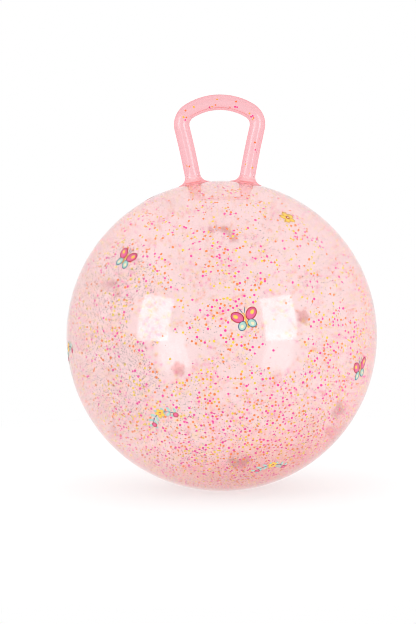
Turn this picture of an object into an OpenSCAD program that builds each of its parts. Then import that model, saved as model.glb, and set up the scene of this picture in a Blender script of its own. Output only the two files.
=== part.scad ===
// Hopper ball: a soft, see-through vinyl ball with a hollow loop handle bonded to its top,
// a push-in air valve low on its right side, and confetti and glitter loose inside it.
// The handle lies in the XZ plane and the ball rests on Z = 0.

/* [Ball] */
// Diameter of the inflated ball
ball_d = 450; // [380:5:600]
// Thickness of the ball's vinyl wall
wall = 1.2; // [0.8:0.1:2.4]
// Diameter of the patch that flattens against the floor
foot_d = 70; // [50:1:100]

/* [Handle] */
// Height of the handle above the top of the ball
handle_rise = 124; // [112:1:150]
// Outer diameter of the handle tube
tube_d = 22.4; // [18:0.2:25]
// Thickness of the handle tube's wall
tube_wall = 4; // [2:0.2:5]
// Angle between the two legs' feet, seen from the ball's centre
feet_angle = 19.4; // [18:0.2:22]
// Radius of the gentle outward sweep of each leg, at the middle of the tube
leg_sweep_r = 1200; // [800:50:2000]
// Radius of each shoulder, at the middle of the tube
shoulder_r = 23; // [18:1:32]
// Radius of the crowned top, at the middle of the tube
crown_r = 83; // [70:1:96]
// Radius of the fillet that spreads each foot onto the ball
foot_fillet_r = 12.5; // [8:0.5:14]
// Thickness of the fillet's outer edge
foot_lip = 0.6; // [0.4:0.1:1.2]

/* [Valve] */
// Angle of the valve below the ball's equator
valve_angle = 42; // [25:1:60]
// Diameter of the flat pad around the valve
pad_d = 36; // [34:1:44]
// Width of the thick rim around the pad, inside the ball
pad_rim = 4; // [2:0.5:6]
// Thickness of the pad
pad_t = 5; // [4:0.5:8]
// Diameter of the sleeve that is bonded into the pad
sleeve_d = 24; // [23:0.5:27]
// Diameter of the collar that holds the sleeve from inside
collar_d = 31; // [29:0.5:34]
// Thickness of that collar
collar_t = 2; // [1.2:0.2:4]
// Outer diameter of the stem inside the ball
stem_d = 14; // [12:0.5:18]
// Length of the stem past the collar
stem_l = 12; // [8:1:20]
// Diameter of the air hole
bore_d = 8; // [6:0.5:9]

/* [Plug] */
// Diameter of the plug's cap
cap_d = 20; // [16:0.5:20.5]
// Thickness of the plug's cap
cap_t = 1.6; // [1:0.2:2.6]
// Length of the plug's shank
shank_l = 14; // [10:1:18]
// Height of one sealing rib on the shank
rib_h = 1.6; // [1:0.2:2.2]
// Number of sealing ribs
rib_n = 3; // [2:1:4]
// Depth of the grooves between the ribs
groove = 0.5; // [0.3:0.1:0.9]
// Diameter of the blind hole in the cap
dimple_d = 3.6; // [2:0.2:4.4]
// Depth of that hole
dimple_l = 7; // [4:0.5:9]

/* [Confetti] */
// Number of discs over all colours
confetti_n = 300; // [90:30:360]
// Number of discs that got into the handle's crown, over all colours
crown_confetti_n = 15; // [6:3:24]
// Diameter of a disc
confetti_d = 3.2; // [2:0.2:4]
// Number of fine glitter flakes
glitter_n = 200; // [100:20:300]
// Width of a flake across its corners
glitter_d = 1.2; // [0.8:0.2:2]
// Thickness of the foil that both are cut from
foil_t = 0.1; // [0.06:0.02:0.3]
// How evenly they spread: 1 is even, and less leaves more of them low down
spread = 0.8; // [0.6:0.05:1]

/* [Clearances] */
// Bond line between two pieces that are welded or glued
bond_gap = 0.05; // [0.02:0.01:0.1]
// Gap round the plug's shank in the air hole
plug_gap = 0.05; // [0.02:0.01:0.1]
// Gap round and under the plug's cap in its recess
cap_gap = 0.2; // [0.1:0.05:0.4]
// Gap between the ball's wall and the confetti that clings to it
cling_gap = 0.3; // [0.2:0.05:0.5]
// Gap between the confetti and the glitter that lies on it
foil_gap = 0.1; // [0.05:0.05:0.2]

/* [Hidden] */
$fn = 120;

// Radii and heights of the ball, whose centre is at ball_z
ball_r = ball_d / 2;
inner_r = ball_r - wall;
foot_r = foot_d / 2;
ball_z = sqrt(pow(ball_r, 2) - pow(foot_r, 2));

// The handle's middle line in its own plane, as [x, z] from the ball's centre, on the right-hand side.
// Each leg starts square to the ball, sweeps outwards, turns in at the shoulder and meets the crown.
tube_r = tube_d / 2;
bore_r = tube_r - tube_wall;
foot_tilt = feet_angle / 2;
crown_c = [0, ball_r + handle_rise - tube_r - crown_r];
leg_c = ball_r * [sin(foot_tilt), cos(foot_tilt)] + leg_sweep_r * [cos(foot_tilt), -sin(foot_tilt)];
shoulder_c = circles_meet(crown_c, crown_r - shoulder_r, leg_c, leg_sweep_r + shoulder_r);
crown_half = bearing(shoulder_c - crown_c);
leg_end = bearing(leg_c - shoulder_c);
// The legs and their bore start this far below the ball's surface, which then trims them
foot_sink = 6;
leg_start = foot_tilt - 90 - asin(foot_sink / leg_sweep_r);

// The foot's fillet, as a circle that stands off the ball by the lip and bites a little into the leg
fillet_bite = 0.25;
fillet_x = tube_r + foot_fillet_r - fillet_bite;
fillet_z = sqrt(pow(ball_r + foot_lip + foot_fillet_r, 2) - pow(fillet_x, 2));
flange_r = fillet_x * ball_r / (ball_r + foot_fillet_r);
flange_in = tube_r - tube_wall / 2;

// The bends of the tube stop this far short of each other, inside a swell of this height
setback = 1;
swell_h = 0.15;

// The valve's flat pad, as its distance from the ball's centre
pad_face = sqrt(pow(ball_r, 2) - pow(pad_d / 2, 2));
recess_r = cap_d / 2 + cap_gap;
recess_t = cap_t + cap_gap;
collar_top = -pad_t - bond_gap;
collar_foot = collar_top - collar_t;
stem_foot = collar_foot - stem_l;
shank_r = bore_d / 2 - plug_gap;
shank_foot = -cap_t - shank_l;
rib_pitch = (shank_l - rib_h) / rib_n;
cap_edge = 0.4;

// Where foil flakes may not lie: the flattened foot and the valve, as angles seen from the ball's centre
golden_angle = 180 * (3 - sqrt(5));
flake_room = 3;
foot_keep_out = asin((foot_r + flake_room) / ball_r);
valve_keep_out = asin((pad_d / 2 + pad_rim + flake_room) / ball_r);
confetti_colours = 3;
confetti_depth = cling_gap;
glitter_depth = confetti_depth + foil_t + foil_gap;

// Angle of a direction [x, z], clockwise from straight up
function bearing(v) = atan2(v[0], v[1]);

// The right-hand point where two circles cross
function circles_meet(a, ra, b, rb) =
    let (gap = b - a,
         far = norm(gap),
         along = (pow(far, 2) + pow(ra, 2) - pow(rb, 2)) / (2 * far),
         aside = sqrt(pow(ra, 2) - pow(along, 2)),
         ahead = gap / far)
    a + along * ahead + aside * [-ahead[1], ahead[0]];

// Direction of flake i of n on a golden spiral, as [angle from straight up, turn about Z]
function spiral(i, n) = [acos(1 - 2 * pow((i + 0.5) / n, spread)), i * golden_angle];

// Unit vector of such a direction
function unit(d) = [sin(d[0]) * cos(d[1]), sin(d[0]) * sin(d[1]), cos(d[0])];

// True where a flake has the ball's plain round wall behind it
function on_plain_wall(d) =
    d[0] < 180 - foot_keep_out
    && unit(d) * unit([90 + valve_angle, 0]) < cos(valve_keep_out);

// Moves its children to the ball's centre
module at_ball() translate([0, 0, ball_z]) children();

// Moves its children to the valve: Z points out of the ball and Z = 0 is the pad's face
module at_valve() at_ball() rotate([0, 90 + valve_angle, 0]) translate([0, 0, pad_face]) children();

// A round bar of radius r bent along an arc in the handle's plane, set back a little from both end bearings
module bent_bar(centre, bend_r, from, to, r) {
    trim = asin(setback / bend_r);
    translate([centre[0], 0, centre[1]])
        rotate([90, 0, 0])
            rotate([0, 0, 90 - to + trim])
                rotate_extrude(angle = to - from - 2 * trim) translate([bend_r, 0]) circle(r);
}

// The slight swell where one bend of the bar runs into the next
module swell(centre, bend_r, at, r) {
    place = centre + bend_r * [sin(at), cos(at)];
    translate([place[0], 0, place[1]]) rotate([0, at - 90, 0]) sphere(r + swell_h);
}

// The leg and shoulder of one side, on the handle's middle line
module handle_side(r) {
    bent_bar(leg_c, leg_sweep_r, leg_start, leg_end - 180, r);
    swell(shoulder_c, shoulder_r, leg_end, r);
    bent_bar(shoulder_c, shoulder_r, crown_half, leg_end, r);
    swell(crown_c, crown_r, crown_half, r);
}

// The whole handle's middle line, as a round bar
module handle_bar(r) {
    bent_bar(crown_c, crown_r, -crown_half, crown_half, r);
    handle_side(r);
    mirror([1, 0, 0]) handle_side(r);
}

// The fillet that spreads a foot onto the ball, about the leg's own axis
module foot_flange() {
    rotate([0, foot_tilt, 0]) rotate_extrude() difference() {
        translate([flange_in, ball_r - foot_sink])
            square([flange_r - flange_in, fillet_z - ball_r + foot_sink]);
        translate([fillet_x, fillet_z]) circle(foot_fillet_r);
    }
}

// A ball of radius r that stands at height z on a flat foot
module flat_footed_ball(r, z) intersection() {
    at_ball() sphere(r);
    translate([-ball_r, -ball_r, z]) cube([ball_d, ball_d, ball_d]);
}

// A round bar on the valve's axis, between two heights from the pad's face
module valve_bar(d, from, to) at_valve() translate([0, 0, from]) cylinder(d = d, h = to - from);

module ball_shell() color("#f9cdd3", 0.55) difference() {
    flat_footed_ball(ball_r, 0);
    // The air space, which stops short of the valve's thick pad
    difference() {
        flat_footed_ball(inner_r, wall);
        valve_bar(pad_d + 2 * pad_rim, -pad_t, pad_t);
    }
    // The pad's flat face and the hole for the sleeve
    valve_bar(pad_d + pad_rim, 0, pad_t);
    valve_bar(sleeve_d, -2 * pad_t, pad_t);
}

module handle() color("#f6a9b8", 0.7) at_ball() difference() {
    union() {
        handle_bar(tube_r);
        foot_flange();
        mirror([1, 0, 0]) foot_flange();
    }
    handle_bar(bore_r);
    sphere(ball_r + bond_gap);
}

module valve_seat() color("#f7bcc6") at_valve() rotate_extrude() difference() {
    union() {
        translate([0, -pad_t - collar_t]) square([sleeve_d / 2 - bond_gap, pad_t + collar_t]);
        translate([0, collar_foot]) square([collar_d / 2, collar_t]);
        translate([0, stem_foot]) square([stem_d / 2, stem_l + collar_t]);
    }
    translate([0, -recess_t]) square([recess_r, 2 * recess_t]);
    translate([0, 2 * stem_foot]) square([bore_d / 2, -3 * stem_foot]);
}

module valve_plug() color("#eceae6") at_valve() rotate_extrude() difference() {
    union() {
        // Cap with a chamfered edge
        polygon([[0, -cap_t], [cap_d / 2, -cap_t], [cap_d / 2, -cap_edge], [cap_d / 2 - cap_edge, 0], [0, 0]]);
        // Grooved shank with a pointed tip
        translate([0, shank_foot]) square([shank_r - groove, shank_l]);
        for (i = [1 : rib_n]) translate([0, shank_foot + i * rib_pitch]) square([shank_r, rib_h]);
        polygon([[0, shank_foot], [shank_r - 2 * groove, shank_foot], [shank_r - groove, shank_foot + rib_h],
                 [0, shank_foot + rib_h]]);
    }
    translate([0, -dimple_l]) square([dimple_d / 2, 2 * dimple_l]);
}

// One flat flake against the inside of the ball's wall
module flake(direction, depth, width, sides) {
    at_ball() rotate([0, direction[0], direction[1]])
        translate([0, 0, inner_r - depth - foil_t]) cylinder(d = width, h = foil_t, $fn = sides);
}

// Disc i against the inside of the handle's tube, spaced along the crown and turned about the tube
module crown_disc(i) {
    at_ball() translate([0, 0, crown_c[1]])
        rotate([0, crown_half * (2 * (i + 0.5) / crown_confetti_n - 1), 0])
            translate([0, 0, crown_r])
                rotate([i * golden_angle, 0, 0])
                    translate([0, 0, bore_r - confetti_depth - foil_t])
                        cylinder(d = confetti_d, h = foil_t, $fn = 24);
}

// Every third disc of the spiral and of the crown, which is one colour's share
module confetti(first) {
    for (i = [first : confetti_colours : confetti_n - 1])
        if (on_plain_wall(spiral(i, confetti_n))) flake(spiral(i, confetti_n), confetti_depth, confetti_d, 24);
    for (i = [first : confetti_colours : crown_confetti_n - 1]) crown_disc(i);
}

module confetti_magenta() color("#ee2a97") confetti(0);

module confetti_orange() color("#ff7d1e") confetti(1);

module confetti_yellow() color("#ffd83a") confetti(2);

module fine_glitter() color("#a9a4ad") {
    for (i = [0 : glitter_n - 1])
        if (on_plain_wall(spiral(i, glitter_n))) flake(spiral(i, glitter_n), glitter_depth, glitter_d, 6);
}

ball_shell();
handle();
valve_seat();
valve_plug();
confetti_magenta();
confetti_orange();
confetti_yellow();
fine_glitter();
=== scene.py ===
import itertools
import math
import random
from collections import namedtuple

import bmesh
import bpy
from mathutils import Matrix, Vector, noise


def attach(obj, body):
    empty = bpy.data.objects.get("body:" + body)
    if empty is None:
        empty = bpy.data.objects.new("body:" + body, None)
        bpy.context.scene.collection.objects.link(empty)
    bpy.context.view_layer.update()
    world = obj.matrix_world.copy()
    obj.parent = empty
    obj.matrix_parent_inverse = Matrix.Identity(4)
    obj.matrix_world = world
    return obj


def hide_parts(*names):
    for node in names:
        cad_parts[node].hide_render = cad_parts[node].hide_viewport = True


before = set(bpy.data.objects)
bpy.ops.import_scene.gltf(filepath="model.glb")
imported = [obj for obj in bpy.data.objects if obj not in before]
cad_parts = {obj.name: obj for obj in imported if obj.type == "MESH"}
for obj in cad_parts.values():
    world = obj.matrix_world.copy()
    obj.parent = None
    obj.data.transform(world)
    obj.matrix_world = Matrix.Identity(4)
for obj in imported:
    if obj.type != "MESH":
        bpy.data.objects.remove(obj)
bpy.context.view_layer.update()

# Ball skin
# The ball is one skin of clear pink soft PVC, about 1.2 mm thick, moulded hollow and blown up with air.
# It lies flat where it meets the floor, and a thick flat pad low on its right side carries the valve.
MM = 0.001
BALL_R = 225 * MM
WALL = 1.2 * MM
INNER_R = BALL_R - WALL
FOOT_R = 35 * MM
SOFT_EDGE = 0.6 * MM
PRESSED_H = 20 * SOFT_EDGE
CENTRE = Vector((0, 0, math.sqrt(BALL_R**2 - FOOT_R**2)))
PAD_R = 18 * MM
PAD_RIM = 4 * MM
PAD_OUTER_R = PAD_R + PAD_RIM
PAD_T = 5 * MM
SLEEVE_R = 12 * MM
PAD_FACE = math.sqrt(BALL_R**2 - PAD_R**2)
VALVE_DOWN = math.radians(42)
TO_VALVE = Matrix.Translation(CENTRE) @ Matrix.Rotation(math.pi / 2 + VALVE_DOWN, 4, "Y")
SKIN_ARC_STEPS = 96
SKIN_TURN_STEPS = 192
MERGE = 0.001 * MM


def line_to(bm, vert, x, z):
    """Draws a straight edge of a profile in the XZ plane, and returns its far end."""
    end = bmesh.ops.extrude_vert_indiv(bm, verts=[vert])["verts"][0]
    end.co = (x, 0, z)
    return end


def arc_to(bm, vert, centre, angle, steps):
    """Draws an arc of a profile about a centre in the XZ plane, and returns its far end."""
    made = bmesh.ops.spin(bm, geom=[vert], cent=centre, axis=(0, 1, 0), angle=angle, steps=steps)
    return next(v for v in made["geom_last"] if isinstance(v, bmesh.types.BMVert))


def revolve(bm, steps):
    """Turns the profile into a closed solid about Z, its poles and seam merged and its faces outwards."""
    bmesh.ops.spin(bm, geom=bm.verts[:] + bm.edges[:], cent=(0, 0, 0), axis=(0, 0, 1),
                   angle=2 * math.pi, steps=steps, use_merge=True)
    bmesh.ops.remove_doubles(bm, verts=bm.verts, dist=MERGE)
    bmesh.ops.recalc_face_normals(bm, faces=bm.faces)


def piece(bm, name, body, material, replaces=(), smooth=True):
    """Makes a bmesh into an object that rides on a body and may stand for CAD nodes."""
    mesh = bpy.data.meshes.new(name)
    bm.to_mesh(mesh)
    bm.free()
    mesh.materials.append(material)
    if smooth:
        mesh.polygons.foreach_set("use_smooth", [True] * len(mesh.polygons))
    ob = bpy.data.objects.new(name, mesh)
    bpy.context.scene.collection.objects.link(ob)
    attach(ob, body)
    if replaces:
        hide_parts(*replaces)
    return ob


def linear(code):
    """An sRGB hex colour as linear values."""
    parts = [int(code[i:i + 2], 16) / 255 for i in (1, 3, 5)]
    return [c / 12.92 if c <= 0.04045 else ((c + 0.055) / 1.055) ** 2.4 for c in parts] + [1.0]


def add(tree, kind, values):
    """Adds a node: lower-case keys are its settings, and the others its inputs, each a value or a link."""
    node = tree.nodes.new("ShaderNode" + kind)
    for key, value in values.items():
        if isinstance(key, str) and key[0].islower():
            setattr(node, key, value)
        elif isinstance(value, bpy.types.NodeSocket):
            tree.links.new(value, node.inputs[key])
        else:
            node.inputs[key].default_value = value
    return node


def new_material(name):
    """A material without nodes, and its node tree."""
    material = bpy.data.materials.new(name)
    material.use_nodes = True
    material.node_tree.nodes.clear()
    return material, material.node_tree


VINYL_IOR = 1.53
VINYL_CLEARNESS = 0.985
CLOUD_WEIGHT = 0.3
# Where the painted shade begins and where it is full, in metres along its way.
PAINTED_SHADE_FROM = -90 * MM
PAINTED_SHADE_TO = 40 * MM


# Soft PVC, clear pink, from a polished mould: a soft-edged gloss, a faint cloudiness, and a colour that
# deepens where light goes a longer way through it. Its surface tone has painted shade, deeper towards one
# side. Lamps shine through it.
def clear_vinyl(name, roughness, thin, painted_shade_tone, cloud_mm, painted_shade_way, deep, density):
    """Its surface goes from the clear tone to a painted shade tone along a way, and deep is the tint
    inside.
    """
    material, tree = new_material(name)
    place = add(tree, "TexCoord", {}).outputs["Object"]
    cloud = add(tree, "TexNoise", {"Vector": place, "Scale": 1000 / cloud_mm, "Detail": 2.0,
                                   "Roughness": 0.5})
    # Painted shade: the surface tone deepens along the given way, towards the bottom.
    down = add(tree, "VectorMath", {"operation": "DOT_PRODUCT", 0: place, 1: painted_shade_way})
    depth = add(tree, "MapRange", {"interpolation_type": "SMOOTHSTEP", "Value": down.outputs["Value"],
                                   "From Min": PAINTED_SHADE_FROM, "From Max": PAINTED_SHADE_TO})
    share = add(tree, "Math", {"operation": "MULTIPLY_ADD", "use_clamp": True, 0: cloud.outputs["Fac"],
                               1: CLOUD_WEIGHT, 2: depth.outputs[0]})
    colour = add(tree, "MixRGB", {0: share.outputs[0], 1: linear(thin), 2: linear(painted_shade_tone)})
    vinyl = add(tree, "BsdfPrincipled", {"Base Color": colour.outputs[0], "Roughness": roughness,
                                         "IOR": VINYL_IOR, "Transmission Weight": VINYL_CLEARNESS})
    lit_through = add(tree, "BsdfTransparent", {"Color": linear(thin)})
    path = add(tree, "LightPath", {})
    both = add(tree, "MixShader", {0: path.outputs["Is Shadow Ray"], 1: vinyl.outputs[0],
                                   2: lit_through.outputs[0]})
    inside = add(tree, "VolumeAbsorption", {"Color": linear(deep), "Density": density})
    add(tree, "OutputMaterial", {"Surface": both.outputs[0], "Volume": inside.outputs[0]})
    return material


# The ball's painted shade deepens its tone towards the bottom and lower right.
ball_vinyl = clear_vinyl("clear_pink_vinyl", roughness=0.075, thin="#fffbfb", painted_shade_tone="#f6dcd8", cloud_mm=110,
                         painted_shade_way=(0.3, 0, -0.95), deep="#fb5062", density=76.0)

bm = bmesh.new()
end = bm.verts.new((0, 0, -BALL_R))
end = arc_to(bm, end, (0, 0, 0), -(math.pi - math.asin(PAD_R / BALL_R)), SKIN_ARC_STEPS)
end = line_to(bm, end, SLEEVE_R, PAD_FACE)
end = line_to(bm, end, SLEEVE_R, PAD_FACE - PAD_T)
end = line_to(bm, end, PAD_OUTER_R, PAD_FACE - PAD_T)
end = line_to(bm, end, PAD_OUTER_R, math.sqrt(INNER_R**2 - PAD_OUTER_R**2))
arc_to(bm, end, (0, 0, 0), math.pi - math.asin(PAD_OUTER_R / INNER_R), SKIN_ARC_STEPS)
revolve(bm, SKIN_TURN_STEPS)
bmesh.ops.transform(bm, matrix=TO_VALVE, verts=bm.verts)
# The floor presses the foot flat, inside and outside, with a soft edge to the flat.
for v in bm.verts:
    on_outside = (v.co - CENTRE).length > BALL_R - WALL / 2
    rest_z = 0 if on_outside else WALL
    if v.co.z < rest_z + PRESSED_H:
        v.co.z = rest_z + SOFT_EDGE * math.log1p(math.exp((v.co.z - rest_z) / SOFT_EDGE))
piece(bm, "ball_skin", "ball", ball_vinyl, ["ball_shell"])

# Handle
# The handle is a hollow loop of the same PVC with a thicker wall, so its colour is deeper.
# Its two feet spread in a fillet onto the ball, where they are welded.
RISE = 124 * MM
TUBE_R = 11.2 * MM
TUBE_WALL = 4.0 * MM
BORE_R = TUBE_R - TUBE_WALL
FOOT_TILT = math.radians(9.7)
LEG_R = 1200 * MM
SHOULDER_R = 23 * MM
CROWN_R = 83 * MM
FILLET_R = 12.5 * MM
LIP = 0.6 * MM
WELD_GAP = 0.05 * MM
HANDLE_SEGMENTS = 96
FLARE_STEPS = 10
MIRROR_MERGE = 0.01 * MM
Arc = namedtuple("Arc", "centre radius start turn steps")


def toward(bearing):
    """The unit vector at an angle from straight up, towards +X."""
    return Vector((math.sin(bearing), 0, math.cos(bearing)))


def bearing_of(way):
    """The angle of a direction from straight up, towards +X."""
    return math.atan2(way.x, way.z)


# The middle line of the right half is three arcs that meet smoothly: the leg, the shoulder and half the
# crown. They are measured from the ball's centre, and run from the foot to the middle of the crown.
foot = BALL_R * toward(FOOT_TILT)
crown_c = Vector((0, 0, BALL_R + RISE - TUBE_R - CROWN_R))
leg_c = foot + LEG_R * toward(FOOT_TILT + math.pi / 2)
gap = leg_c - crown_c
along = (gap.length_squared + (CROWN_R - SHOULDER_R)**2 - (LEG_R + SHOULDER_R)**2) / (2 * gap.length)
aside = math.sqrt((CROWN_R - SHOULDER_R)**2 - along**2)
ahead = gap.normalized()
shoulder_c = crown_c + along * ahead + aside * Vector((-ahead.z, 0, ahead.x))
crown_turn = bearing_of(shoulder_c - crown_c)
shoulder_turn = bearing_of(leg_c - shoulder_c) - crown_turn
leg_turn = crown_turn + shoulder_turn - math.pi / 2 - FOOT_TILT
ARCS = [Arc(leg_c, LEG_R, FOOT_TILT - math.pi / 2, leg_turn, 12),
        Arc(shoulder_c, SHOULDER_R, crown_turn + shoulder_turn, -shoulder_turn, 20),
        Arc(crown_c, CROWN_R, crown_turn, -crown_turn, 14)]


def on_leg(height):
    """Places a ring square to the right leg's middle line, at a height above the ball."""
    return (Matrix.Translation(CENTRE + leg_c) @ Matrix.Rotation(height / LEG_R, 4, "Y")
            @ Matrix.Translation(foot - leg_c) @ Matrix.Rotation(FOOT_TILT, 4, "Y"))


def next_ring(bm, loop, old, new):
    """Extrudes a ring of the leg to a new (radius, height), and returns its edges."""
    made = bmesh.ops.extrude_edge_only(bm, edges=loop)["geom"]
    move = on_leg(new[1]) @ Matrix.Scale(new[0] / old[0], 4) @ on_leg(old[1]).inverted()
    bmesh.ops.transform(bm, matrix=move, verts=[g for g in made if isinstance(g, bmesh.types.BMVert)])
    edges = [g for g in made if isinstance(g, bmesh.types.BMEdge)]
    return [e for e in edges if not e.is_manifold and e not in loop]


def through_rings(bm, rings, segments):
    """Draws a wall through rings (radius, height) of the right leg, and returns its end rings' edges."""
    radius, height = rings[0]
    verts = bmesh.ops.create_circle(bm, segments=segments, radius=radius, matrix=on_leg(height))["verts"]
    first = last = list({e for v in verts for e in v.link_edges})
    for old, new in zip(rings, rings[1:]):
        last = next_ring(bm, last, old, new)
    return first, last


def half_handle(bm, rings):
    """Draws a wall through rings of the right leg, sweeps the last ring round the arcs to the middle of
    the crown, and returns the first ring's edges."""
    first, loop = through_rings(bm, rings, HANDLE_SEGMENTS)
    passed = rings[-1][1] / LEG_R
    for arc in ARCS:
        verts = list({v for e in loop for v in e.verts})
        made = bmesh.ops.spin(bm, geom=loop + verts, cent=arc.centre + CENTRE, axis=(0, 1, 0),
                              angle=arc.turn - passed, steps=arc.steps)
        loop = [g for g in made["geom_last"] if isinstance(g, bmesh.types.BMEdge)]
        passed = 0
    return first


def mirrored(bm):
    """Adds the left half, joins it to the right one, and turns all faces outwards."""
    bmesh.ops.mirror(bm, geom=bm.verts[:] + bm.edges[:] + bm.faces[:], axis="X", merge_dist=MIRROR_MERGE)
    bmesh.ops.remove_doubles(bm, verts=bm.verts, dist=MERGE)
    bmesh.ops.recalc_face_normals(bm, faces=bm.faces)


HAZE_LOW = BALL_R + 3 * MM
HAZE_HIGH = BALL_R + 13 * MM
HAZE_TONE = "#fcd8da"
HAZE_SHEER = 0.72


# The flared feet are thin, and cloudy from the weld's heat: paler and less glassy than the leg above them,
# with part of the light going straight through.
def add_foot_haze(material):
    """Changes the vinyl near the ball, by its distance from the ball's centre."""
    tree = material.node_tree
    vinyl = tree.nodes["Principled BSDF"]
    both = tree.nodes["Mix Shader"]
    place = add(tree, "TexCoord", {}).outputs["Object"]
    height = add(tree, "VectorMath", {"operation": "DISTANCE", 0: place, 1: CENTRE})
    rise = {"interpolation_type": "SMOOTHSTEP", "Value": height.outputs["Value"],
            "From Min": HAZE_LOW, "From Max": HAZE_HIGH}
    clear = add(tree, "MapRange", {**rise, "To Max": VINYL_CLEARNESS})
    haze = add(tree, "MapRange", {**rise, "To Min": HAZE_SHEER, "To Max": 0.0})
    tone = add(tree, "MixRGB", {0: clear.outputs[0], 1: linear(HAZE_TONE),
                                2: vinyl.inputs["Base Color"].links[0].from_socket})
    through = add(tree, "Math", {"operation": "MAXIMUM", 0: both.inputs[0].links[0].from_socket,
                                 1: haze.outputs[0]})
    tree.links.new(clear.outputs[0], vinyl.inputs["Transmission Weight"])
    tree.links.new(tone.outputs[0], vinyl.inputs["Base Color"])
    tree.links.new(through.outputs[0], both.inputs[0])


# The handle's painted shade deepens its tone slightly towards the bottom.
handle_vinyl = clear_vinyl("deep_pink_vinyl", roughness=0.04, thin="#fffcfc", painted_shade_tone="#fdf0f2", cloud_mm=40,
                           painted_shade_way=(0, 0, -1), deep="#f86080", density=72.0)
add_foot_haze(handle_vinyl)

# The foot's fillet is an arc tangent to the leg and to a sphere that lies one lip's height above the ball.
fillet_out = TUBE_R + FILLET_R
fillet_reach = BALL_R + LIP + FILLET_R
fillet_up = math.sqrt(fillet_reach**2 - fillet_out**2)
flare_turn = math.asin(fillet_up / fillet_reach)
rim_r = fillet_out * (BALL_R + WELD_GAP) / fillet_reach
rim_edge = (rim_r, math.sqrt((BALL_R + WELD_GAP)**2 - rim_r**2) - BALL_R)


def foot_flare(wall_at_rim, wall_at_leg):
    """Rings (radius, height) of the foot's flare from rim to leg, this far inside the outer face."""
    for i in range(FLARE_STEPS, -1, -1):
        r = FILLET_R + wall_at_leg + (wall_at_rim - wall_at_leg) * i / FLARE_STEPS
        turn = flare_turn * i / FLARE_STEPS
        yield fillet_out - r * math.cos(turn), fillet_up - r * math.sin(turn) - BALL_R


bm = bmesh.new()
outer = half_handle(bm, [rim_edge, *foot_flare(0, 0)])
inner = half_handle(bm, list(foot_flare(LIP - 2 * WELD_GAP, TUBE_WALL)))
bmesh.ops.bridge_loops(bm, edges=outer + inner)
mirrored(bm)
piece(bm, "loop_handle", "ball", handle_vinyl, ["handle"])

# Foot welds
# The weld under each foot is a thin cloudy ring on the ball, with a coral bead standing where the leg comes
# down. It is the same PVC, melted and pressed out where the foot and the ball are joined by heat.
BEAD_IN = TUBE_R - 0.3 * MM
BEAD_OUT = TUBE_R + 0.3 * MM
BEAD_H = 2.2 * MM
WELD_LOW = 0.01 * MM
WELD_HIGH = 0.06 * MM
WELD_OUT = rim_r - 1.2 * MM
WELD_STEPS = 6
WELD_SEGMENTS = 64


def off_ball(r, height):
    """A ring of the leg that stands at a height above the ball's surface."""
    return r, math.sqrt(BALL_R**2 - r**2) - BALL_R + height


# Soft PVC melted in a weld: opaque and cloudy with a dull gloss, pale in the ring and coral in the bead.
def welded_vinyl():
    """The colour changes with the height above the ball."""
    material, tree = new_material("welded_vinyl")
    place = add(tree, "TexCoord", {}).outputs["Object"]
    cloud = add(tree, "TexNoise", {"Vector": place, "Scale": 1000 / 8.0, "Detail": 2.0})
    height = add(tree, "VectorMath", {"operation": "DISTANCE", 0: place, 1: CENTRE})
    on_bead = add(tree, "MapRange", {"Value": height.outputs["Value"], "From Min": BALL_R + 0.1 * MM,
                                     "From Max": BALL_R + 0.6 * MM})
    ring = add(tree, "MixRGB", {0: cloud.outputs["Fac"], 1: linear("#fbd9db"), 2: linear("#f8cdd0")})
    tone = add(tree, "MixRGB", {0: on_bead.outputs[0], 1: ring.outputs[0], 2: linear("#ea7064")})
    weld = add(tree, "BsdfPrincipled", {"Base Color": tone.outputs[0], "Roughness": 0.4})
    add(tree, "OutputMaterial", {"Surface": weld.outputs[0]})
    return material


bm = bmesh.new()
radii = [BEAD_IN + (WELD_OUT - BEAD_IN) * i / WELD_STEPS for i in range(WELD_STEPS + 1)]
profile = [off_ball(r, WELD_LOW) for r in radii]
profile += [off_ball(r, WELD_HIGH) for r in reversed(radii[1:])]
profile += [off_ball(BEAD_OUT, WELD_HIGH), off_ball(BEAD_OUT, BEAD_H), off_ball(BEAD_IN, BEAD_H)]
first, last = through_rings(bm, profile, WELD_SEGMENTS)
bmesh.ops.bridge_loops(bm, edges=first + last)
mirrored(bm)
piece(bm, "foot_welds", "ball", welded_vinyl())

# Valve
# The seat is a soft PVC sleeve welded into the ball's pad, and the plug is a push-in stopper of natural
# white polyethylene, with ribs on its shank and a cap that lies flush in the seat's recess.
TO_PAD = TO_VALVE @ Matrix.Translation((0, 0, PAD_FACE))
RECESS_R = 10.2 * MM
RECESS_DEEP = 1.8 * MM
SEAT_R = 11.95 * MM
SEAT_DEEP = 5.05 * MM
COLLAR_R = 15.5 * MM
COLLAR_DEEP = 7.05 * MM
STEM_R = 7 * MM
STEM_DEEP = 19.05 * MM
AIR_HOLE_R = 4 * MM
DIMPLE_R = 1.8 * MM
DIMPLE_DEEP = 7 * MM
CAP_R = 10 * MM
CAP_T = 1.6 * MM
CAP_EDGE = 0.4 * MM
RIB_R = 3.95 * MM
RIB_H = 1.6 * MM
RIB_TOPS = (1.6 * MM, 5.73 * MM, 9.87 * MM)
SHANK_R = 3.45 * MM
SHANK_DEEP = 14 * MM
TIP_R = 2.95 * MM
PLUG_DEEP = 15.6 * MM
VALVE_TURN_STEPS = 64
MOULD_ANGLE = math.radians(30)


def turned(points, closed):
    """A turned solid on the valve's axis, from (radius, depth below the pad's face). Its profile is closed
    to itself or ends on the axis."""
    bm = bmesh.new()
    radius, depth = points[0]
    first = end = bm.verts.new((radius, 0, -depth))
    for radius, depth in points[1:]:
        end = line_to(bm, end, radius, -depth)
    if closed:
        bm.edges.new((end, first))
    revolve(bm, VALVE_TURN_STEPS)
    bmesh.ops.transform(bm, matrix=TO_PAD, verts=bm.verts)
    return bm


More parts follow.
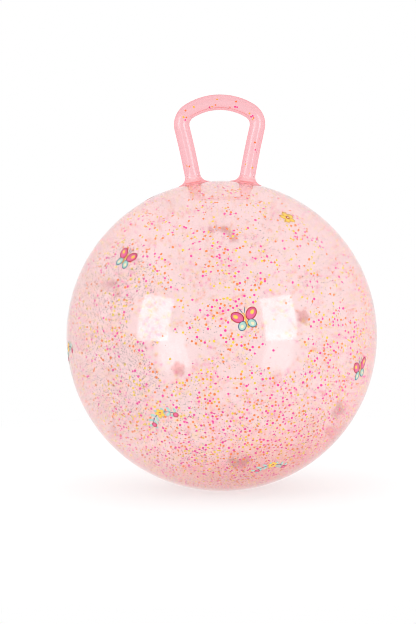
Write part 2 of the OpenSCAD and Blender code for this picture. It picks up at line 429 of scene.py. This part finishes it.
def round_edges(ob, width):
    """Softens a moulded piece's sharp edges."""
    bevel = ob.modifiers.new("mould_radius", "BEVEL")
    bevel.width = width
    bevel.segments = 2
    bevel.limit_method = "ANGLE"
    bevel.angle_limit = MOULD_ANGLE


# Moulded plastic, soft PVC or polyethylene: opaque, with a fine grain that makes its dull gloss uneven.
def moulded(name, colour, fleck, roughness, grain_mm):
    """The grain goes from the colour to the fleck."""
    material, tree = new_material(name)
    place = add(tree, "TexCoord", {}).outputs["Object"]
    grain = add(tree, "TexNoise", {"Vector": place, "Scale": 1000 / grain_mm, "Detail": 3.0})
    tone = add(tree, "MixRGB", {0: grain.outputs["Fac"], 1: linear(colour), 2: linear(fleck)})
    shine = add(tree, "MapRange", {"Value": grain.outputs["Fac"], "To Min": roughness - 0.06,
                                   "To Max": roughness + 0.08})
    skin = add(tree, "Bump", {"Height": grain.outputs["Fac"], "Strength": 0.08, "Distance": 0.2 * MM})
    plastic = add(tree, "BsdfPrincipled", {"Base Color": tone.outputs[0], "Roughness": shine.outputs[0],
                                           "IOR": 1.5, "Normal": skin.outputs[0]})
    add(tree, "OutputMaterial", {"Surface": plastic.outputs[0]})
    return material


seat_profile = [(RECESS_R, 0), (SEAT_R, 0), (SEAT_R, SEAT_DEEP), (COLLAR_R, SEAT_DEEP),
                (COLLAR_R, COLLAR_DEEP), (STEM_R, COLLAR_DEEP), (STEM_R, STEM_DEEP),
                (AIR_HOLE_R, STEM_DEEP), (AIR_HOLE_R, RECESS_DEEP), (RECESS_R, RECESS_DEEP)]
seat_vinyl = moulded("cloudy_pink_vinyl", "#f7bcc6", "#f4b1bd", roughness=0.3, grain_mm=3)
seat = piece(turned(seat_profile, closed=True), "valve_sleeve", "ball", seat_vinyl, ["valve_seat"],
             smooth=False)
round_edges(seat, 0.25 * MM)

plug_profile = [(0, DIMPLE_DEEP), (DIMPLE_R, DIMPLE_DEEP), (DIMPLE_R, 0), (CAP_R - CAP_EDGE, 0),
                (CAP_R, CAP_EDGE), (CAP_R, CAP_T)]
for top in RIB_TOPS:
    if top > CAP_T:
        plug_profile.append((SHANK_R, top))
    plug_profile += [(RIB_R, top), (RIB_R, top + RIB_H), (SHANK_R, top + RIB_H)]
plug_profile += [(SHANK_R, SHANK_DEEP), (TIP_R, PLUG_DEEP), (0, PLUG_DEEP)]
plug_plastic = moulded("natural_polyethylene", "#edebe7", "#e4e1db", roughness=0.38, grain_mm=2)
plug = piece(turned(plug_profile, closed=False), "valve_stopper", "plug", plug_plastic, ["valve_plug"],
             smooth=False)
round_edges(plug, 0.15 * MM)

# Confetti
# Round confetti punched from dyed polyester film, loose inside the ball and clinging to its wall by static.
# It gathers low down and in clumps, and a few discs have got into the handle.
CONFETTI_R = 1.6 * MM
FOIL_T = 0.1 * MM
CLING = 0.3 * MM
DISC_ROOM = 1.3 * CONFETTI_R
DISC_SEGMENTS = 10
MOST_LEAN = 1.0
HANDLE_DISCS = 9
FOOT_ROOM = math.cos(math.radians(11))
VALVE_ROOM = math.cos(math.radians(8))
BATCH = 100
valve_way = TO_VALVE.to_3x3() @ Vector((0, 0, 1))
chance = random.Random(45)


def outward(z, turn):
    """The direction from the ball's centre with this Z and this turn about Z."""
    return Vector((math.sqrt(1 - z * z) * math.cos(turn), math.sqrt(1 - z * z) * math.sin(turn), z))


def wall_ways(count, share, room, taken):
    """Random directions from the ball's centre to its plain wall, kept by the share that a direction gets,
    with no two in the same small cell or in cells that touch."""
    found = []
    while len(found) < count:
        way = outward(chance.uniform(-1, 1), chance.uniform(0, 2 * math.pi))
        cell = tuple(round(c * INNER_R / room) for c in way)
        plain = -way.z < FOOT_ROOM and way.dot(valve_way) < VALVE_ROOM
        if plain and cell not in taken and chance.random() < share(way):
            for step in itertools.product((-1, 0, 1), repeat=3):
                taken.add(tuple(c + s for c, s in zip(cell, step)))
            found.append(way)
    return found


def strew(flakes, make):
    """Makes many flakes (place, way it faces, radius), a batch at a time, because a full bmesh is slow
    to add to."""
    whole = bmesh.new()
    for first in range(0, len(flakes), BATCH):
        bm = bmesh.new()
        for place, way, r in flakes[first:first + BATCH]:
            make(bm, r, Matrix.Translation(place) @ way.to_track_quat("Z", "Y").to_matrix().to_4x4())
        part = bpy.data.meshes.new("part")
        bm.to_mesh(part)
        bm.free()
        whole.from_mesh(part)
        bpy.data.meshes.remove(part)
    return whole


def disc(bm, r, place):
    """A round disc of film."""
    bmesh.ops.create_cone(bm, cap_ends=True, segments=DISC_SEGMENTS, radius1=r, radius2=r, depth=FOIL_T,
                          matrix=place)


# Four patches at the front and two at the back are almost bare: there the photo shows clean softboxes.
BARE_PATCHES = [Vector(way) for way in ((-0.417, -0.892, 0.178), (0.376, -0.91, 0.179),
                                        (-0.3, -0.952, -0.044), (0.363, -0.931, -0.026),
                                        (-0.3, 0.937, -0.176), (0.363, 0.918, -0.156))]
BARE_WIDTH = 0.986
BARE_WAVER = 0.012
BARE_SHARE = 0.01


def bare(way):
    """Whether a direction points to a bare patch. The patches have uneven edges."""
    waver = BARE_WAVER * noise.noise(way * 11)
    return any(way.dot(patch) + waver > BARE_WIDTH for patch in BARE_PATCHES)


def confetti_share(way):
    """The share of discs that stay in a direction: more low down, most on the right, and in clumps."""
    if bare(way):
        return BARE_SHARE
    clump = noise.noise(way * 7) + 0.6 * noise.noise(way * 19)
    settled = 0.95 * max(0, 0.35 * way.x - 0.85 * way.z - 0.1)
    low = settled - 0.12 * max(0, way.z) - 0.1 * max(0, way.x)
    return max(0.03, 0.3 + low + 0.6 * clump)


# Dyed polyester film: bright, even and glossy, with a little change of tone from disc to disc.
def dyed_film(name, colour, glint):
    """The tone goes from the colour to the glint over a few millimetres."""
    material, tree = new_material(name)
    place = add(tree, "TexCoord", {}).outputs["Object"]
    cell = add(tree, "TexNoise", {"Vector": place, "Scale": 1000 / 6.0, "Detail": 0.0})
    tone = add(tree, "MixRGB", {0: cell.outputs["Fac"], 1: linear(colour), 2: linear(glint)})
    film = add(tree, "BsdfPrincipled", {"Base Color": tone.outputs[0], "Roughness": 0.4, "IOR": 1.5,
                                        "Specular IOR Level": 0.12})
    add(tree, "OutputMaterial", {"Surface": film.outputs[0]})
    return material


taken = set()
for colour, code, glint, count in (("magenta", "#fc06b0", "#ff1cbc", 3400),
                                   ("orange", "#ff8e08", "#ff9e14", 3200),
                                   ("yellow", "#fff210", "#fffa2c", 3000)):
    flakes = []
    # Every third disc on the wall is of a smaller size, and each leans a little, held by its outer edge.
    for i, way in enumerate(wall_ways(count, confetti_share, DISC_ROOM, taken)):
        r = CONFETTI_R * (chance.uniform(0.95, 1.18) if i % 3 else chance.uniform(0.45, 0.7))
        lean = min(abs(chance.gauss(0, 0.35)), MOST_LEAN)
        hinge = Matrix.Rotation(chance.uniform(0, 2 * math.pi), 3, way) @ way.orthogonal()
        place = CENTRE + way * (INNER_R - CLING - FOIL_T / 2 - r * math.sin(lean))
        flakes.append((place, Matrix.Rotation(lean, 3, hinge) @ way, r))
    # Those in the handle lie on its bore, on either side, a few in each arc.
    for i in range(HANDLE_DISCS):
        arc = ARCS[i % len(ARCS)]
        at = arc.start + arc.turn * chance.uniform(0.15, 0.95)
        way = Matrix.Rotation(chance.uniform(0, 2 * math.pi), 3, toward(at + math.pi / 2)) @ toward(at)
        place = arc.centre + arc.radius * toward(at) + way * (BORE_R - CLING - FOIL_T / 2)
        side = Matrix.Scale(chance.choice((-1, 1)), 3, (1, 0, 0))
        flakes.append((CENTRE + side @ place, side @ way, 0.9 * CONFETTI_R))
    piece(strew(flakes, disc), "confetti_discs_" + colour, "ball",
          dyed_film(colour + "_polyester_film", code, glint), ["confetti_" + colour],
          smooth=False)

# Fine glitter
# Fine cut glitter of metallised polyester film, silver with some gold, loose inside the ball.
# It gathers on the left and low down, where it greys the pink.
GLITTER_COUNT = 36000
GLITTER_ROOM = 0.5 * MM
GLITTER_DEPTH = CLING + FOIL_T + 0.3 * MM
GLITTER_DRIFT = Vector((-0.8, -0.58, 0.1)).normalized()
# The dull gold is the film's own colour; the greys and the white are painted reflections and glints.
GLITTER_TONES_AND_GLINTS = ("#565056", "#857d83", "#d4cdd2", "#968d68", "#ffffff")


def glitter_share(way):
    """The share of flakes that stay in a direction: more on the left and low down, most in one drift."""
    if bare(way):
        return BARE_SHARE
    clump = noise.noise(way * 5 + Vector((3, 1, 7))) + 0.5 * noise.noise(way * 17)
    drift = max(0, way.dot(GLITTER_DRIFT) - 0.8)
    low = max(0, -0.6 * way.x - 0.45 * way.z - 0.1)
    return max(0.02, 0.04 + 0.7 * low + 16 * drift + 0.25 * clump)


def speck(bm, r, place):
    """A square flake, turned at random and nearly flat on the wall."""
    spin = Matrix.Rotation(chance.uniform(0, 2 * math.pi), 4, "Z")
    tilt = Matrix.Rotation(chance.gauss(0, 0.2), 4, "X")
    bmesh.ops.create_circle(bm, cap_ends=True, segments=4, radius=r, matrix=place @ (spin @ tilt))


# Metallised polyester film: a soft part-mirror, with some dull gold. Its tones from dark grey to white are
# painted reflections and glints.
def metallised_film():
    """The tones change from cell to cell, each about the size of a few flakes."""
    material, tree = new_material("metallised_polyester_film")
    place = add(tree, "TexCoord", {}).outputs["Object"]
    cell = add(tree, "TexVoronoi", {"Vector": place, "Scale": 1000 / 2.5})
    hue = add(tree, "ValToRGB", {"Fac": cell.outputs["Color"]})
    stops = hue.color_ramp.elements
    stops[0].color = linear(GLITTER_TONES_AND_GLINTS[0])
    stops[-1].color = linear(GLITTER_TONES_AND_GLINTS[-1])
    for i, code in enumerate(GLITTER_TONES_AND_GLINTS[1:-1], 1):
        stops.new(i / (len(GLITTER_TONES_AND_GLINTS) - 1)).color = linear(code)
    film = add(tree, "BsdfPrincipled", {"Base Color": hue.outputs[0], "Metallic": 0.3, "Roughness": 0.35})
    add(tree, "OutputMaterial", {"Surface": film.outputs[0]})
    return material


flakes = [(CENTRE + way * (INNER_R - GLITTER_DEPTH), way, chance.uniform(0.4, 0.85) * MM)
          for way in wall_ways(GLITTER_COUNT, glitter_share, GLITTER_ROOM, set())]
piece(strew(flakes, speck), "silver_glitter", "ball", metallised_film(), ["fine_glitter"],
      smooth=False)

# Printed motifs
# Butterflies, blossoms and sprigs screen-printed on the skin in flat opaque inks over a coat of white,
# which is what shows of them through the ball from behind. They stand on a spiral that gives each about
# the same room and keeps clear of the handle, the foot and the valve.
INK_T = 0.04 * MM
INK_STEP = 0.06 * MM
INK_CLEAR = 0.1 * MM
OVAL_SEGMENTS = 20
INKS = {"white": "#fff6f5", "rose": "#e0608e", "red": "#bb2a30", "ochre": "#e3a94f", "mint": "#a9cfc4",
        "slate": "#3f6f86", "cream": "#f3dcb4", "gold": "#f4c650"}
PETALS = 5
PETAL_OUT = 6.3
LEAF_PAIRS = 7
LEAF_TURN = 18
LEAF_OUT = 5
STALK_R = 26
STALK_DROP = 22
SPOTS = 16
GOLDEN_TURN = math.pi * (3 - math.sqrt(5))
FIRST_TURN = 3.02
REACH = 0.95
MOST_TWIST = 0.5
films = {ink: bmesh.new() for ink in INKS}


def dab(ink, spot, layer, x, y, width, length, turn=0.0):
    """Lays an oval of ink on white, sized in mm, on the skin round a spot. A higher layer lies on top."""
    oval = (Matrix.Translation((x * MM, y * MM, BALL_R)) @ Matrix.Rotation(math.radians(turn), 4, "Z")
            @ Matrix.Diagonal((width * MM, length * MM, 1, 1)))
    for coat, level in (("white", 0), (ink, layer + 1)):
        made = bmesh.ops.create_circle(films[coat], cap_ends=True, cap_tris=True, segments=OVAL_SEGMENTS,
                                       radius=0.5, matrix=oval)
        for v in made["verts"]:
            v.co = CENTRE + spot @ (v.co.normalized() * (BALL_R + INK_CLEAR + level * INK_STEP))


def butterfly(spot):
    """A butterfly about 37 mm wide, with rose upper wings and mint lower ones, all outlined."""
    for side in (-1, 1):
        dab("red", spot, 0, side * 10, 5.5, 14.5, 19.5, side * -48)
        dab("rose", spot, 1, side * 10, 5.5, 12, 17, side * -48)
        dab("gold", spot, 2, side * 12, 7, 5, 7, side * -48)
        dab("slate", spot, 0, side * 7, -7.5, 11.5, 14, side * 40)
        dab("mint", spot, 1, side * 7, -7.5, 9.2, 11.7, side * 40)
        dab("cream", spot, 2, side * 7.6, -8.2, 4, 5, side * 40)
        dab("slate", spot, 2, side * 2.6, 12.5, 1, 9, side * -20)
    dab("ochre", spot, 3, 0, 0, 3, 19)


def blossom(spot, x=0.0, y=0.0, size=1.0):
    """A gold blossom with outlined petals and a red heart, about 24 mm across at full size."""
    for i in range(PETALS):
        turn = 360 / PETALS * i
        petal_x = x + PETAL_OUT * size * -math.sin(math.radians(turn))
        petal_y = y + PETAL_OUT * size * math.cos(math.radians(turn))
        dab("ochre", spot, 2, petal_x, petal_y, 9.4 * size, 11.6 * size, turn)
        dab("gold", spot, 3, petal_x, petal_y, 7.4 * size, 9.6 * size, turn)
    dab("red", spot, 4, x, y, 6.2 * size, 6.2 * size)
    dab("cream", spot, 5, x, y, 3.2 * size, 3.2 * size)


def sprig(spot):
    """A bent stalk with pairs of mint leaves, a small blossom in the middle and a berry at each end."""
    for i in range(LEAF_PAIRS):
        along = math.radians(LEAF_TURN * (i - LEAF_PAIRS // 2))
        x = STALK_R * math.sin(along)
        y = STALK_R * math.cos(along) - STALK_DROP
        turn = -math.degrees(along)
        dab("slate", spot, 0, x, y, 8.8, 1.3, turn)
        for side in (-1, 1):
            lean = turn + side * 38
            leaf_x = x - LEAF_OUT * side * math.sin(math.radians(lean))
            leaf_y = y + LEAF_OUT * side * math.cos(math.radians(lean))
            dab("mint", spot, 1, leaf_x, leaf_y, 3.8, 8, lean)
    blossom(spot, 0, 4, 0.62)
    for side in (-1, 1):
        dab("red", spot, 2, side * 20, -8, 8, 8)
        dab("rose", spot, 3, side * 20, -8, 6, 6)


for i in range(SPOTS):
    way = outward(REACH * (1 - (2 * i + 1) / SPOTS), FIRST_TURN + GOLDEN_TURN * i)
    east = Vector((0, 0, 1)).cross(way).normalized()
    twist = Matrix.Rotation(chance.uniform(-MOST_TWIST, MOST_TWIST), 3, "Z")
    spot = Matrix((east, way.cross(east), way)).transposed() @ twist
    (butterfly, blossom, sprig)[i % 3](spot)


# Screen-print ink: flat opaque colour with a fine uneven cover and a low sheen.
def print_ink(name, code):
    """The cover goes from the ink's colour to a slightly deeper one."""
    material, tree = new_material(name)
    place = add(tree, "TexCoord", {}).outputs["Object"]
    cover = add(tree, "TexNoise", {"Vector": place, "Scale": 1000 / 1.5, "Detail": 3.0})
    rich = [c * 0.86 for c in linear(code)[:3]] + [1]
    tone = add(tree, "MixRGB", {0: cover.outputs["Fac"], 1: linear(code), 2: rich})
    film = add(tree, "BsdfPrincipled", {"Base Color": tone.outputs[0], "Roughness": 0.42, "IOR": 1.48})
    add(tree, "OutputMaterial", {"Surface": film.outputs[0]})
    return material


for name, code in INKS.items():
    bmesh.ops.recalc_face_normals(films[name], faces=films[name].faces)
    bmesh.ops.solidify(films[name], geom=films[name].faces[:], thickness=INK_T)
    piece(films[name], "print_" + name, "ball", print_ink(name + "_print_ink", code))

# Studio
# A white paper floor that fades into an even white room, and two tall softboxes beside the camera,
# which stands a little above the ball's middle and is tipped by a little over half a degree.
FLOOR_SIZE = 6
FADE_FROM = 0.35
FADE_TO = 0.9
PAPER_LIFT = 0.6
PAPER_GLOW = 0.95
ROOM_GLOW = 1.05
WHITE = linear("#ffffff")


def seen_or_mirrored(tree):
    """1 for rays from the camera, a gloss or a clear piece, and 0 for the rays that light the object."""
    path = add(tree, "LightPath", {})
    seen = add(tree, "Math", {"operation": "MAXIMUM", 0: path.outputs["Is Camera Ray"],
                              1: path.outputs["Is Glossy Ray"]})
    either = add(tree, "Math", {"operation": "MAXIMUM", 0: seen.outputs[0],
                                1: path.outputs["Is Transmission Ray"]})
    return either.outputs[0]


# White paper: matt and even, with the ball's faint shadow, and pure white a little way off.
# On the camera's side it is in shade, which shows only where the gloss mirrors it.
def white_paper():
    """The paper as it is seen, as it is mirrored, and as it lights the object."""
    material, tree = new_material("white_paper")
    place = add(tree, "TexCoord", {}).outputs["Object"]
    far = add(tree, "VectorMath", {"operation": "LENGTH", 0: place})
    fade = add(tree, "MapRange", {"interpolation_type": "SMOOTHSTEP", "Value": far.outputs["Value"],
                                  "From Min": FADE_FROM, "From Max": FADE_TO})
    paper = add(tree, "BsdfDiffuse", {"Color": linear("#adadad")})
    lift = add(tree, "Emission", {"Color": WHITE, "Strength": PAPER_LIFT})
    near = add(tree, "AddShader", {0: paper.outputs[0], 1: lift.outputs[0]})
    white = add(tree, "Emission", {"Color": WHITE, "Strength": 1.0})
    shown = add(tree, "MixShader", {0: fade.outputs[0], 1: near.outputs[0], 2: white.outputs[0]})
    across = add(tree, "SeparateXYZ", {0: place})
    shade = add(tree, "MapRange", {"Value": across.outputs["Y"], "From Min": -0.6, "From Max": 0.0,
                                   "To Min": 0.5})
    dim = add(tree, "Emission", {"Color": WHITE, "Strength": shade.outputs[0]})
    in_gloss = add(tree, "LightPath", {}).outputs["Is Reflection Ray"]
    seen = add(tree, "MixShader", {0: in_gloss, 1: shown.outputs[0], 2: dim.outputs[0]})
    matt = add(tree, "BsdfDiffuse", {"Color": linear("#aaaaaa")})
    glow = add(tree, "Emission", {"Color": WHITE, "Strength": PAPER_GLOW})
    bounce = add(tree, "AddShader", {0: matt.outputs[0], 1: glow.outputs[0]})
    both = add(tree, "MixShader", {0: seen_or_mirrored(tree), 1: bounce.outputs[0], 2: seen.outputs[0]})
    add(tree, "OutputMaterial", {"Surface": both.outputs[0]})
    return material


def white_room():
    """An even white world. Its camera's side is darker, which shows only where the gloss mirrors it."""
    world = bpy.data.worlds.new("studio")
    world.use_nodes = True
    tree = world.node_tree
    tree.nodes.clear()
    fill = add(tree, "Background", {"Color": WHITE, "Strength": ROOM_GLOW})
    aim = add(tree, "SeparateXYZ", {0: add(tree, "TexCoord", {}).outputs["Generated"]})
    darker = add(tree, "MapRange", {"Value": aim.outputs["Y"], "From Min": -0.9, "From Max": -0.1,
                                    "To Min": 0.3})
    in_gloss = add(tree, "LightPath", {}).outputs["Is Reflection Ray"]
    level = add(tree, "Mix", {0: in_gloss, 2: 1.0, 3: darker.outputs[0]})
    white = add(tree, "Background", {"Color": WHITE, "Strength": level.outputs[0]})
    both = add(tree, "MixShader", {0: seen_or_mirrored(tree), 1: fill.outputs[0], 2: white.outputs[0]})
    add(tree, "OutputWorld", {"Surface": both.outputs[0]})
    return world


bm = bmesh.new()
bmesh.ops.create_grid(bm, x_segments=1, y_segments=1, size=FLOOR_SIZE)
mesh = bpy.data.meshes.new("floor")
bm.to_mesh(mesh)
bm.free()
mesh.materials.append(white_paper())
floor = bpy.data.objects.new("floor", mesh)
bpy.context.scene.collection.objects.link(floor)
bpy.context.scene.world = white_room()

SOFTBOX_W = 0.93
SOFTBOX_H = 1.1
SOFTBOX_WATTS = 8.5
SOFTBOX_AWAY = 2.2
for name, way in (("left_softbox", Vector((-0.73, -0.63, 0.25))),
                  ("right_softbox", Vector((0.645, -0.726, 0.25)))):
    lamp = bpy.data.lights.new(name, "AREA")
    lamp.shape = "RECTANGLE"
    lamp.size = SOFTBOX_W
    lamp.size_y = SOFTBOX_H
    lamp.energy = SOFTBOX_WATTS
    softbox = bpy.data.objects.new(name, lamp)
    softbox.location = CENTRE + way.normalized() * SOFTBOX_AWAY
    softbox.rotation_euler = way.to_track_quat("Z", "Y").to_euler()
    bpy.context.scene.collection.objects.link(softbox)

# The picture's height and the ball's width and place in it are in pixels of the photo.
IMAGE_H = 624
BALL_ACROSS = 310
PIXEL = 2 * BALL_R / BALL_ACROSS
RIGHT_OF_MIDDLE = 13.7 * PIXEL
BELOW_MIDDLE = 23.9 * PIXEL
AWAY = 3.2
RAISED = math.radians(4)
TIPPED = math.radians(0.6)
SENSOR_H = 36
lens = bpy.data.cameras.new("camera")
lens.sensor_fit = "VERTICAL"
lens.sensor_height = SENSOR_H
lens.lens = SENSOR_H * AWAY / (IMAGE_H * PIXEL)
camera = bpy.data.objects.new("camera", lens)
look = Matrix.Rotation(math.pi / 2 - RAISED, 4, "X") @ Matrix.Rotation(-TIPPED, 4, "Z")
stand = CENTRE + look @ Vector((-RIGHT_OF_MIDDLE, BELOW_MIDDLE, AWAY))
camera.matrix_world = Matrix.Translation(stand) @ look
bpy.context.scene.collection.objects.link(camera)
bpy.context.scene.camera = camera
bpy.context.scene.view_settings.view_transform = "Standard"

# Light that crosses two skins and the handle's walls needs many turns to come out again,
# and a narrow pixel filter keeps the foil crisp.
BOUNCES = 48
cycles = bpy.context.scene.cycles
cycles.filter_width = 0.9
cycles.max_bounces = BOUNCES
cycles.transmission_bounces = BOUNCES
cycles.glossy_bounces = BOUNCES
cycles.transparent_max_bounces = BOUNCES
